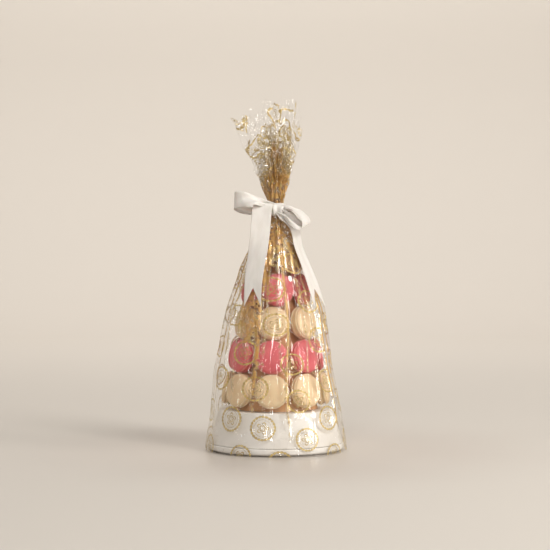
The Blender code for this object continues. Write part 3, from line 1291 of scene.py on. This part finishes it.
FRONT_CREASES = (
    Crease(-72, 0.06, 1.8, 2.6, 2.0),
    Crease(-58, 0.10, 1.7, 2.6, 1.6),
    Crease(-45, 0.05, 1.6, 3.0),
    Crease(-33, 0.145, 2.2, 11.0, 4.0, 3.0),
    Crease(-23, 0.06, 1.8, 3.4, 2.2, 4.0),
    Crease(-12, 0.03, 1.6, 2.2, 1.2),
    Crease(3, 0.10, 1.4, 2.2, 1.0),
    Crease(14, 0.02, 1.8, 2.6, 1.6, -4.0),
    Crease(33, 0.08, 1.6, 2.2, 1.2),
    Crease(46, 0.04, 1.7, 2.4, 1.2),
    Crease(62, 0.02, 1.8, 2.6, 2.2),
    Crease(76, 0.06, 1.8, 2.6, 2.2),
)


@dataclass
class FilmWrap:
    """The clear film: a pleated skirt over the tower, its gather, and the plume above."""

    # height, reach to the left, reach to the right, half depth of the pleats, all in mm
    skirt: tuple[tuple[float, float, float, float], ...] = (
        (0.6, 90.8, 91.0, 0.5),
        (50.0, 85.0, 86.0, 0.8),
        (102.0, 80.0, 75.0, 1.0),
        (180.0, 63.8, 63.2, 1.2),
        (205.0, 55.2, 56.6, 1.2),
        (231.0, 45.4, 44.6, 1.0),
        (257.0, 32.6, 32.2, 0.5),
        (283.0, 19.5, 19.5, 0.8),
        (296.0, 12.8, 12.8, 0.8),
        (304.0, 10.0, 10.0, 0.7),
        (318.0, 10.0, 10.0, 0.7),
    )
    # direction in degrees from +X, reach and height in mm of the plume's corners
    corners: tuple[tuple[float, float, float], ...] = (
        (0.0, 34.0, 406.0),
        (40.0, 36.0, 442.0),
        (90.0, 28.0, 445.0),
        (140.0, 42.0, 434.0),
        (180.0, 57.0, 422.0),
        (215.0, 33.0, 438.0),
        (265.0, 19.0, 453.0),
        (320.0, 28.0, 452.0),
    )
    pleats: int = 12
    lobe: float = 3.4 * MM
    lobe_height: float = 258.0 * MM
    lobe_span: float = 20.0 * MM
    plume_flare: float = 1.05
    plume_pleat: float = 1.8 * MM
    edge_wave: float = 3.0 * MM
    softening: float = 4.0 * MM
    crinkle: float = 0.8 * MM
    sheet_width: float = 0.572
    columns: int = 560
    skirt_rows: int = 108
    plume_rows: int = 60
    back_creases: int = 15
    crease_seed: int = 5
    tuck: float = 1.7 * MM
    # heights between which the film is drawn in, above its hem and under its gather
    tuck_low: tuple[float, float] = (14.0 * MM, 45.0 * MM)
    tuck_high: tuple[float, float] = (238.0 * MM, 220.0 * MM)
    taut: tuple[float, float] = (304.0 * MM, 285.0 * MM)
    # degrees from the front towards +X that the ribbon's tails press on, and the heights where they end
    pressed: tuple[tuple[float, float], ...] = ((-66.0, 0.0), (22.0, 78.0))
    pressed_heights: tuple[float, float] = (182.0 * MM, 200.0 * MM)
    pressing: float = 0.85
    skirt_apex: float = 0.42
    skirt_lean: float = 0.32
    skirt_length: float = 1.04
    plume_apex: float = 0.07
    plume_fan: float = 1.1
    plume_length: float = 0.14
    plume_drop: float = 44 * MM
    plume_start: float = 1.027
    # scale, foot, how far the top lies under the outer edge, and columns of the plume's inner folds
    inner: tuple[tuple[float, float, float, int], ...] = (
        (0.78, 321 * MM, 30 * MM, 240),
        (0.62, 318 * MM, 36 * MM, 200),
        (0.46, 316 * MM, 42 * MM, 160),
    )
    finish: PrintedFilm = field(default_factory=PrintedFilm)

    def __post_init__(self) -> None:
        """Draws the long folds of the back, which no photograph shows."""
        draw = random.Random(self.crease_seed)
        back = [
            Crease(
                azimuth=85 + 190 * (i + draw.uniform(-0.4, 0.4)) / (self.back_creases - 1),
                low=draw.uniform(0.02, 0.16),
                size=draw.uniform(1.0, 2.1),
                half_width=draw.uniform(2.2, 4.0),
                sway=draw.uniform(-12, 12),
            )
            for i in range(self.back_creases)
        ]
        self.creases = (*FRONT_CREASES, *back)

    def pleat_wave(self, turn: float) -> float:
        """Wave of the pleats, from 0 on a crest to 2 in a valley, unevenly spaced round the turn."""
        uneven = 0.10 * math.sin(2 * turn + 1.0) + 0.06 * math.sin(3 * turn + 0.4)
        return 1 - math.cos(self.pleats * turn + 4 * uneven)

    def soft(self, height: float, column: int) -> float:
        """A column of the skirt's table in metres, with its corners rounded off."""
        heights = (height - self.softening, height, height + self.softening)
        return sum(between(self.skirt, place / MM, column) for place in heights) / 3 * MM

    def crinkles(self, turn: float, height: float) -> float:
        """Sharp upright creases of the crisp film.

        Args:
            turn: Direction from +X.
            height: Height.

        Returns:
            Their relief, from 0 to about 1.
        """
        coarse = polar(4.2, turn, height * 9)
        fine = polar(9.5, turn, height * 16 + 7.0)
        ridge, crease = (max(1 - abs(noise.noise(place)) * 2.2, 0.0) for place in (coarse, fine))
        return 0.62 * ridge**2 + 0.38 * crease**2

    def loose(self, turn: float, height: float) -> float:
        """How freely the skirt may stand out.

        Args:
            turn: Direction from +X.
            height: Height.

        Returns:
            A share from nearly 0 under the ribbon's tails to 1.
        """
        front = (math.degrees(turn) + 270) % 360 - 180
        pressed = 0.0
        for low, high in self.pressed:
            pressed += smooth_step(low - 8, low + 4, front) * smooth_step(high + 8, high - 4, front)
        return 1 - self.pressing * pressed * smooth_step(*self.pressed_heights, height)

    def skirt_point(self, turn: float, height: float) -> Vector:
        """Point of the skirt.

        Args:
            turn: Its direction from +X.
            height: Its height.

        Returns:
            The point.
        """
        left, right, depth = (self.soft(height, column) for column in (1, 2, 3))
        bump = max(0.0, 1 - abs(height - self.lobe_height) / self.lobe_span)
        corner = (1 - math.cos(4 * turn)) / 2
        crest = left + (right - left) * (1 + math.cos(turn)) / 2 + self.lobe * bump * corner
        folds = sum(crease.lift(turn, height, crest) for crease in self.creases)
        out = self.crinkle * self.crinkles(turn, height) + folds
        out *= smooth_step(*self.taut, height) * self.loose(turn, height)
        tucked = self.tuck * smooth_step(*self.tuck_high, height) * smooth_step(*self.tuck_low, height)
        return polar(crest - depth * self.pleat_wave(turn) + out - tucked, turn, height)

    def plume_edge(self, turn: float) -> tuple[float, float]:
        """The plume's free edge.

        Args:
            turn: Direction from +X.

        Returns:
            Its reach and height there.
        """
        first = self.corners[0]
        corners = (*self.corners, (360.0 + first[0], first[1], first[2]))
        where = math.degrees(turn) % 360.0
        last = next(i for i in range(1, len(corners)) if where <= corners[i][0])
        low, high = corners[last - 1], corners[last]
        ease = smooth_step(low[0], high[0], where)
        return tuple((low[i] + (high[i] - low[i]) * ease) * MM for i in (1, 2))

    def plume_point(self, turn: float, rise: float) -> Vector:
        """Point of the plume.

        Args:
            turn: Its direction from +X.
            rise: From 0 at the gather to 1 at the free edge.

        Returns:
            The point.
        """
        reach, top = self.plume_edge(turn)
        foot, neck, _, depth = (value * MM for value in self.skirt[-1])
        wave = self.pleat_wave(turn)
        pleat = depth + (self.plume_pleat * min(1.0, reach / (30 * MM)) - depth) * rise
        radius = neck + (reach - neck) * rise**self.plume_flare - pleat * wave
        height = foot + (top - foot + self.edge_wave * (1 - wave)) * rise
        return self.crushed(turn, radius, height, rise, 0.0)

    def crushed(self, turn: float, radius: float, height: float, rise: float, seed: float) -> Vector:
        """Point of the plume after the crisp film is crushed by hand.

        Args:
            turn: Its direction.
            radius: Its distance from the axis.
            height: Its height.
            rise: From 0 at the gather to 1 at the free edge.
            seed: What sets this layer apart.

        Returns:
            The point.
        """
        across = polar(1.0, turn, seed)
        ridge = 1 - 2.4 * abs(noise.noise(across * 2.3 + Vector((0.0, 0.0, height * 42))))
        crush = 1 - 2.4 * abs(noise.noise(across * 5 + Vector((3.0, 0.0, height * 95))))
        loose = smooth_step(0.0, 0.3, rise)
        shift = (3.6 * MM * (ridge - 0.6) + 1.7 * MM * (crush - 0.6)) * loose
        turn += 0.16 * loose * noise.noise(across * 3 + Vector((9.0, 0.0, height * 60)))
        height -= 13 * MM * max(noise.noise(across * 4.5), -0.15) * smooth_step(0.6, 1.0, rise)
        return polar(max(radius + shift, 2 * MM), turn, height)

    @staticmethod
    def direction(across: float) -> float:
        """Direction from +X, in radians, of a share across the film, whose seam is at the back."""
        return math.tau * across + math.pi / 2

    def stretch(self, along: float) -> tuple[bool, float]:
        """The stretch of the film that a share along the whole film lies on.

        Args:
            along: From 0 at the hem to 1 at the plume's edge.

        Returns:
            Whether it is the skirt, and the share along the skirt or the plume.
        """
        row = along * (self.skirt_rows + self.plume_rows)
        if row <= self.skirt_rows:
            return True, row / self.skirt_rows
        return False, (row - self.skirt_rows) / self.plume_rows

    def film_point(self, across: float, along: float) -> Vector:
        """Point of the whole film.

        Args:
            across: Share round the film.
            along: Share from the hem to the plume's edge.

        Returns:
            The point.
        """
        on_skirt, share = self.stretch(along)
        if not on_skirt:
            return self.plume_point(self.direction(across), share)
        low, high = self.skirt[0][0] * MM, self.skirt[-1][0] * MM
        return self.skirt_point(self.direction(across), low + (high - low) * share)

    def film_flat(self, across: float, along: float) -> tuple[float, float]:
        """Point of the flat sheet, rolled off round the skirt's or the plume's own point.

        Args:
            across: Share round the film.
            along: Share from the hem to the plume's edge.

        Returns:
            The point in metres.
        """
        on_skirt, share = self.stretch(along)
        if not on_skirt:
            return self.plume_flat(across, share)
        reach = self.skirt_apex - self.skirt_length * self.skirt[-1][0] * MM * share
        fan = (across - 0.5) * self.sheet_width / self.skirt_apex + self.skirt_lean
        return reach * math.sin(fan), -reach * math.cos(fan)

    def plume_flat(self, across: float, rise: float, seed: float = 0.0) -> tuple[float, float]:
        """Point of the plume's flat sheet.

        Args:
            across: Share round the plume.
            rise: Share from the gather to the free edge.
            seed: What sets this layer's print apart.

        Returns:
            The point in metres.
        """
        reach = self.plume_apex + self.plume_length * rise
        fan = (across - 0.5) * self.plume_fan
        return self.plume_start + seed + reach * math.sin(fan), reach * math.cos(fan) - self.plume_drop

    def film_gather(self, across: float, along: float) -> float:
        """How many layers the film lies in.

        Args:
            across: Share round the film.
            along: Share from the hem to the plume's edge.

        Returns:
            The number of layers.
        """
        on_skirt, share = self.stretch(along)
        if not on_skirt:
            return self.plume_gather(across, share) * (1 - 0.7 * smooth_step(0.1, 0.55, share))
        height = self.skirt[-1][0] * MM * share
        radius = (self.soft(height, 1) + self.soft(height, 2)) / 2
        turn = self.direction(across)
        folds = sum(crease.layers * crease.lift(turn, height, radius) for crease in self.creases)
        return self.sheet_width / (math.tau * radius) + folds / MM

    def plume_gather(self, across: float, rise: float) -> float:
        """How many layers the plume lies in.

        Args:
            across: Share round the plume.
            rise: Share from the gather to the free edge.

        Returns:
            The number of layers.
        """
        reach, _ = self.plume_edge(self.direction(across))
        layers = self.sheet_width / (math.tau * (10 * MM + (reach - 10 * MM) * rise))
        return layers * (1 - 0.75 * smooth_step(0.55, 1.0, rise))

    def inner_fold(self, number: int) -> bpy.types.Object:
        """One inner fold of the plume.

        Args:
            number: Its number, from 1.

        Returns:
            The fold.
        """
        scale, foot, drop, columns = self.inner[number - 1]
        neck = self.skirt[-1][1] * MM

        def place(across: float, along: float) -> Vector:
            """Point of the fold."""
            turn = self.direction(across)
            reach, top = self.plume_edge(turn + 0.5 * number)
            radius = (neck + (reach - neck) * along) * scale - 1.5 * MM * self.pleat_wave(turn + number)
            height = foot + (top - foot - drop) * along
            return self.crushed(turn, radius, height, 0.3 + 0.7 * along, 4.0 * number)

        def flat(across: float, along: float) -> tuple[float, float]:
            """Point of the fold's flat sheet."""
            return self.plume_flat(across, along, float(number))

        return sheet(f"film_fold_{number}", columns, self.plume_rows, place, True, flat, self.plume_gather)

    def build(self) -> None:
        """Builds the film and its inner folds."""
        material = self.finish.material()
        rows = self.skirt_rows + self.plume_rows
        film = sheet("film", self.columns, rows, self.film_point, True, self.film_flat, self.film_gather)
        hand_over(dress(film, material), "clear_film", "wrap_film")
        for number in range(1, len(self.inner) + 1):
            hand_over(dress(self.inner_fold(number), material), "clear_film", "wrap_film")


class Lie(Enum):
    """How a stretch of ribbon lies, in the frame's words."""

    HUNG = "hung"
    FOLDED = "folded"


@dataclass
class RibbonStrip:
    """A stretch of satin ribbon along a route of (centre, span) stations, in mm.

    The span runs from edge to edge. Where it is shorter than the ribbon is wide, the ribbon is
    gathered there into lengthwise folds that take up the rest.
    """

    name: str
    route: list[Station]
    lie: Lie
    notch: float = 0.0
    folds: float = 2.5
    rows: int = 120
    columns: int = 28
    width: float = 25 * MM
    slack: float = 0.8
    deepest_fold: float = 2.2 * MM
    thickness: float = 0.25 * MM
    flutter: float = 0.0
    length: float = 0.0

    def build(self) -> bpy.types.Object:
        """Builds the strip.

        Returns:
            The strip, with its UV map in metres.
        """
        centres = [centre * MM for centre, _ in self.route]
        spans = [span * MM for _, span in self.route]
        steps = [along_curve(centres, i / self.rows) for i in range(self.rows + 1)]
        self.length = sum((b - a).length for a, b in zip(steps, steps[1:]))

        def place(across: float, along: float) -> Vector:
            """Point of the ribbon on its route, with its folds."""
            side = across - 0.5
            cut = along * (1 - self.notch / self.length * (1 - 2 * abs(side)) * along)
            span = along_curve(spans, cut)
            before, after = (along_curve(centres, min(max(cut + step, 0.0), 1.0)) for step in (-0.01, 0.01))
            ahead = after - before
            out = ahead.cross(span).normalized()
            reach = max(span.length, 1 * MM)
            spare = max((self.slack * self.width / reach) ** 2 - 1, 0.0)
            depth = min(reach / (math.tau * self.folds) * math.sqrt(2 * spare), self.deepest_fold)
            lift = depth * math.sin(math.tau * self.folds * side + 0.6)
            lift += self.flutter * noise.noise(Vector((side * 1.6, along * 5, len(self.name))))
            return along_curve(centres, cut) + span * side + out * lift

        def flat(across: float, along: float) -> tuple[float, float]:
            """Point of the flat ribbon."""
            return across * self.width, along * self.length

        strip = sheet(self.name, self.columns, self.rows, place, flat=flat)
        solid = strip.modifiers.new("thickness", "SOLIDIFY")
        solid.thickness = self.thickness
        solid.offset = 0.0
        return apply_modifiers(strip)

    def declare(self, strip: bpy.types.Object, rests_on: Sequence[str]) -> None:
        """Works out the area of the strip as cut; nothing more is done with it.

        Args:
            strip: The built strip. Not used.
            rests_on: Names of the pieces that it lies on. Not used.
        """
        area = self.width * self.length - self.width * self.notch / 2


@dataclass
class Bow:
    """The satin ribbon: a band round the gather, a knot, two loops and two swallowtailed tails."""

    film: FilmWrap
    width: float = 25.0
    root: float = 9.0
    standoff: float = 1.6
    notch: float = 16 * MM
    band_radius: float = 11.3
    band_height: float = 311.0
    band_span: float = 12.0
    knot_centre: Vector = field(default_factory=lambda: Vector((0.5, -16.2, 308.5)))
    knot_half: tuple[float, float, float] = (8.6, 4.8, 7.6)
    knot_slant: float = -4.5
    finish: Satin = field(default_factory=Satin)

    def on_film(self, height: float, across: float, azimuth: float) -> Station:
        """Station of a tail that lies on the film's skirt.

        Args:
            height: Its height in mm.
            across: Its place to the right of the middle, in mm.
            azimuth: The direction that the ribbon faces, in degrees from the front.

        Returns:
            The station's centre and span.
        """
        turn = math.radians(azimuth)
        facing = Vector((math.sin(turn), -math.cos(turn), 0.0))
        span = Vector((math.cos(turn), math.sin(turn), 0.0))
        skirt = self.film.skirt
        reach = max(between(skirt, height, 1), between(skirt, height, 2))
        bump = max(0.0, 1 - abs(height * MM - self.film.lobe_height) / self.film.lobe_span)
        depth = (reach + self.film.lobe / MM * bump + self.standoff - across * facing.x) / -facing.y
        return Vector((across, -depth, height)), span * self.width

    def loop_routes(self) -> dict[str, list[Station]]:
        """Routes of the two loops, out from the knot and back to it."""
        width, root = self.width, self.root
        left = [
            ((-3, -17, 313), (1, -1, root)),
            ((-14, -21, 316), (2, 7, root - 2)),
            ((-24, -24, 319.5), (3, 15, 8)),
            ((-34, -25, 321), (3, 12, width * 0.58)),
            ((-44, -23, 321.5), (3, 2, width * 0.80)),
            ((-52.5, -17, 320.5), (1, -2, width * 0.84)),
            ((-51, -9, 316), (1, 2, width * 0.76)),
            ((-40, -5, 311.5), (2, 5, width * 0.70)),
            ((-24, -7, 308), (2, 4, width * 0.54)),
            ((-12, -11, 308.5), (1, 1, root + 1)),
            ((-3, -14, 310), (0, 0, root)),
        ]
        right = [
            ((2, -15, 310.5), (0, 0, root)),
            ((11, -18, 311), (0, 5, root - 2)),
            ((21, -20, 310), (2, 17, 5)),
            ((30, -21.5, 305), (6, 19, 5)),
            ((37, -22, 297.5), (10, 19, 3)),
            ((38.8, -23, 290.5), (10.5, 18, 3)),
            ((35.5, -25, 286.5), (8, 17, 5)),
            ((28, -26.5, 289.5), (5, 14, 10)),
            ((19, -25, 296.5), (3, 9, 13)),
            ((11, -22.5, 302.5), (1, 3, root)),
            ((2, -17.5, 307.5), (0, 0, root)),
        ]
        routes = {"ribbon_loop_left": left, "ribbon_loop_right": right}
        return {name: [(Vector(c), Vector(s)) for c, s in route] for name, route in routes.items()}

    def tail_routes(self) -> dict[str, list[Station]]:
        """Routes of the two tails, from the knot down over the film."""
        width, root = self.width, self.root
        left = [
            (Vector((-5, -17, 311.5)), Vector((root + 2, 0, -2))),
            (Vector((-13, -21.5, 316.5)), Vector((width * 0.88, 1, -1))),
            (Vector((-17, -25, 311.5)), Vector((width, 0, 0))),
            (Vector((-18.5, -27, 299)), Vector((width, 0, 0))),
            (Vector((-20, -29.5, 280)), Vector((width, 1, 0))),
            self.on_film(258, -22.5, -12),
            self.on_film(236, -26, -22),
            self.on_film(213, -28.5, -28),
            self.on_film(186, -29.5, -32),
        ]
        right = [
            (Vector((3, -16, 308)), Vector((root, 2, root * 0.4))),
            (Vector((11, -18, 303)), Vector((root + 6, 8, 9))),
            (Vector((20, -16.5, 294)), Vector((width * 0.62, 16, 6))),
            (Vector((25.5, -14, 280)), Vector((width * 0.46, 21.5, 0))),
            self.on_film(262, 29, 64),
            self.on_film(240, 37.5, 60),
            self.on_film(214, 47, 56),
            self.on_film(183, 57, 54),
        ]
        return {"ribbon_tail_left": left, "ribbon_tail_right": right}

    def band_route(self) -> list[Station]:
        """Route of the band, once round the gather."""
        route = []
        for i in range(17):
            around = polar(self.band_radius, math.tau * i / 16 - math.pi / 2, self.band_height)
            route.append((around, Vector((0, 0, self.band_span))))
        return route

    def knot_route(self) -> list[Station]:
        """Route of the knot, once round the roots of the loops from top to bottom."""
        half_x, half_y, half_z = self.knot_half
        route = []
        for i in range(15):
            turn = math.tau * i / 14 + math.pi / 2
            around = Vector((0.0, -math.cos(turn) * half_y, math.sin(turn) * half_z))
            spread = 1 + 0.16 * math.sin(turn)
            route.append((self.knot_centre + around, Vector((2 * half_x * spread, 0.0, self.knot_slant))))
        return route

    def build(self) -> None:
        """Builds each stretch of the ribbon and works out its cut area."""
        material = self.finish.material()
        strips = []
        for name, route in self.loop_routes().items():
            strips.append(RibbonStrip(name, route, Lie.FOLDED, folds=1.5))
        for name, route in self.tail_routes().items():
            strips.append(RibbonStrip(name, route, Lie.HUNG, notch=self.notch, folds=1.5, flutter=0.8 * MM))
        strips.append(RibbonStrip("ribbon_band", self.band_route(), Lie.FOLDED, folds=3.5, rows=72))
        strips.append(RibbonStrip("ribbon_knot", self.knot_route(), Lie.FOLDED, folds=1.8, rows=64))
        for strip in strips:
            obj = strip.build()
            hand_over(dress(obj, material), "satin", "ribbon_bow")
            strip.declare(obj, ["film"])


@dataclass(frozen=True)
class SoftLight:
    """A soft rectangular light, in metres and watts, aimed at the tower unless told otherwise."""

    name: str
    place: tuple[float, float, float]
    size: tuple[float, float]
    power: float
    colour: Colour
    aim: tuple[float, float, float] = (0.0, 0.0, 0.22)

    def build(self) -> None:
        """Adds the light, which the camera doesn't see."""
        place = Vector(self.place)
        bpy.ops.object.light_add(type="AREA", location=place)
        light = bpy.context.object
        light.name = self.name
        light.rotation_euler = (Vector(self.aim) - place).to_track_quat("-Z", "Y").to_euler()
        light.data.shape = "RECTANGLE"
        light.data.size, light.data.size_y = self.size
        light.data.energy = self.power
        light.data.color = self.colour
        light.visible_camera = False


LIGHTS = (
    SoftLight("key", (1.25, -1.35, 1.9), (0.6, 0.6), 25.0, (1.0, 0.975, 0.94)),
    SoftLight("right", (1.95, -0.8, 0.75), (0.7, 1.0), 19.0, (1.0, 0.97, 0.92)),
    SoftLight("fill", (0.3, -1.2, 2.5), (1.2, 1.0), 5.0, (1.0, 0.98, 0.96)),
    SoftLight("right strip", (1.5, -1.5, 1.15), (0.07, 1.6), 6.0, (1.0, 0.98, 0.95)),
    SoftLight("left strip", (-1.85, -0.85, 1.05), (0.08, 1.6), 3.5, (0.95, 0.97, 1.0)),
    SoftLight("front strip", (-0.42, -1.75, 1.25), (0.09, 1.8), 8.0, (1.0, 0.99, 0.97)),
    SoftLight("rim", (-0.9, 0.2, 1.5), (0.3, 0.6), 2.0, (1.0, 0.97, 0.93)),
    SoftLight("wash", (0.0, 1.7, 2.9), (3.0, 0.5), 78.0, (1.0, 0.975, 0.95), (0.0, 3.5, 0.7)),
)


@dataclass
class Studio:
    """Pale round floor and backdrop, soft lights, and the camera at the photograph's viewing angle."""

    camera_place: Vector = field(default_factory=lambda: Vector((-0.001, -2.19, 0.269)))
    camera_drop: float = 1.16
    focal_pixels: float = 1700.0
    frame_pixels: float = 550.0
    sensor: float = 36.0
    floor_radius: float = 2.6
    bend: float = 0.9
    wall_height: float = 2.4
    air_colour: Colour = srgb(240, 235, 229)
    air_strength: float = 0.1
    clear_layers: int = 32

    def camera(self) -> None:
        """Adds the camera."""
        turn = (math.radians(90.0 - self.camera_drop), 0.0, 0.0)
        bpy.ops.object.camera_add(location=self.camera_place, rotation=turn)
        camera = bpy.context.object
        camera.name = "camera"
        camera.data.sensor_width = self.sensor
        camera.data.lens = self.sensor * self.focal_pixels / self.frame_pixels
        camera.data.clip_end = 50.0
        bpy.context.scene.camera = camera

    def stage(self) -> None:
        """Adds a round floor that curves up into a wall on every side."""
        reach, bend = self.floor_radius, self.bend
        quarter = bend * math.pi / 2

        def swept(across: float, along: float) -> Vector:
            """Point of the floor, the bend or the wall."""
            run = 0.02 + along * (reach + quarter + self.wall_height)
            turn = min(max(run - reach, 0.0) / bend, math.pi / 2)
            radius = min(run, reach) + bend * math.sin(turn)
            rise = bend * (1 - math.cos(turn)) + max(run - reach - quarter, 0.0)
            return polar(radius, math.tau * across, rise)

        floor = sheet("floor", 96, 60, swept, closed=True)
        dress(floor, PlainStage().material())

    def air(self) -> None:
        """Adds the faint light that comes from all round."""
        world = bpy.data.worlds.new("air")
        world.use_nodes = True
        air = world.node_tree.nodes["Background"]
        air.inputs["Color"].default_value = (*self.air_colour, 1.0)
        air.inputs["Strength"].default_value = self.air_strength
        bpy.context.scene.world = world

    def build(self) -> None:
        """Builds the camera, the stage and the lights."""
        self.camera()
        self.stage()
        for light in LIGHTS:
            light.build()
        self.air()
        bpy.context.scene.cycles.transparent_max_bounces = self.clear_layers
        bpy.context.scene.view_settings.view_transform = "Standard"


def flavour_of_nodes(record: dict) -> dict[str, Flavour]:
    """Flavour of each macaron's node, read from the frame's material slots.

    Args:
        record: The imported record.

    Returns:
        The flavours by node.
    """
    slots = {part["node"]: part["material_slot"] for part in record["subparts"]}
    return {node: Flavour(slot) for node, slot in slots.items() if node.startswith("macaron_")}


def main() -> None:
    """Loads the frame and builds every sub-assembly round it."""
    logging.basicConfig(level=logging.INFO, format="%(message)s")
    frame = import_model()
    Studio().build()
    Base().build()
    Cone().build()
    MacaronTower().build(frame["nodes"], flavour_of_nodes(frame["record"]))
    film = FilmWrap()
    film.build()
    Bow(film).build()
    bpy.ops.object.select_all(action="DESELECT")


if __name__ == "__main__":
    main()
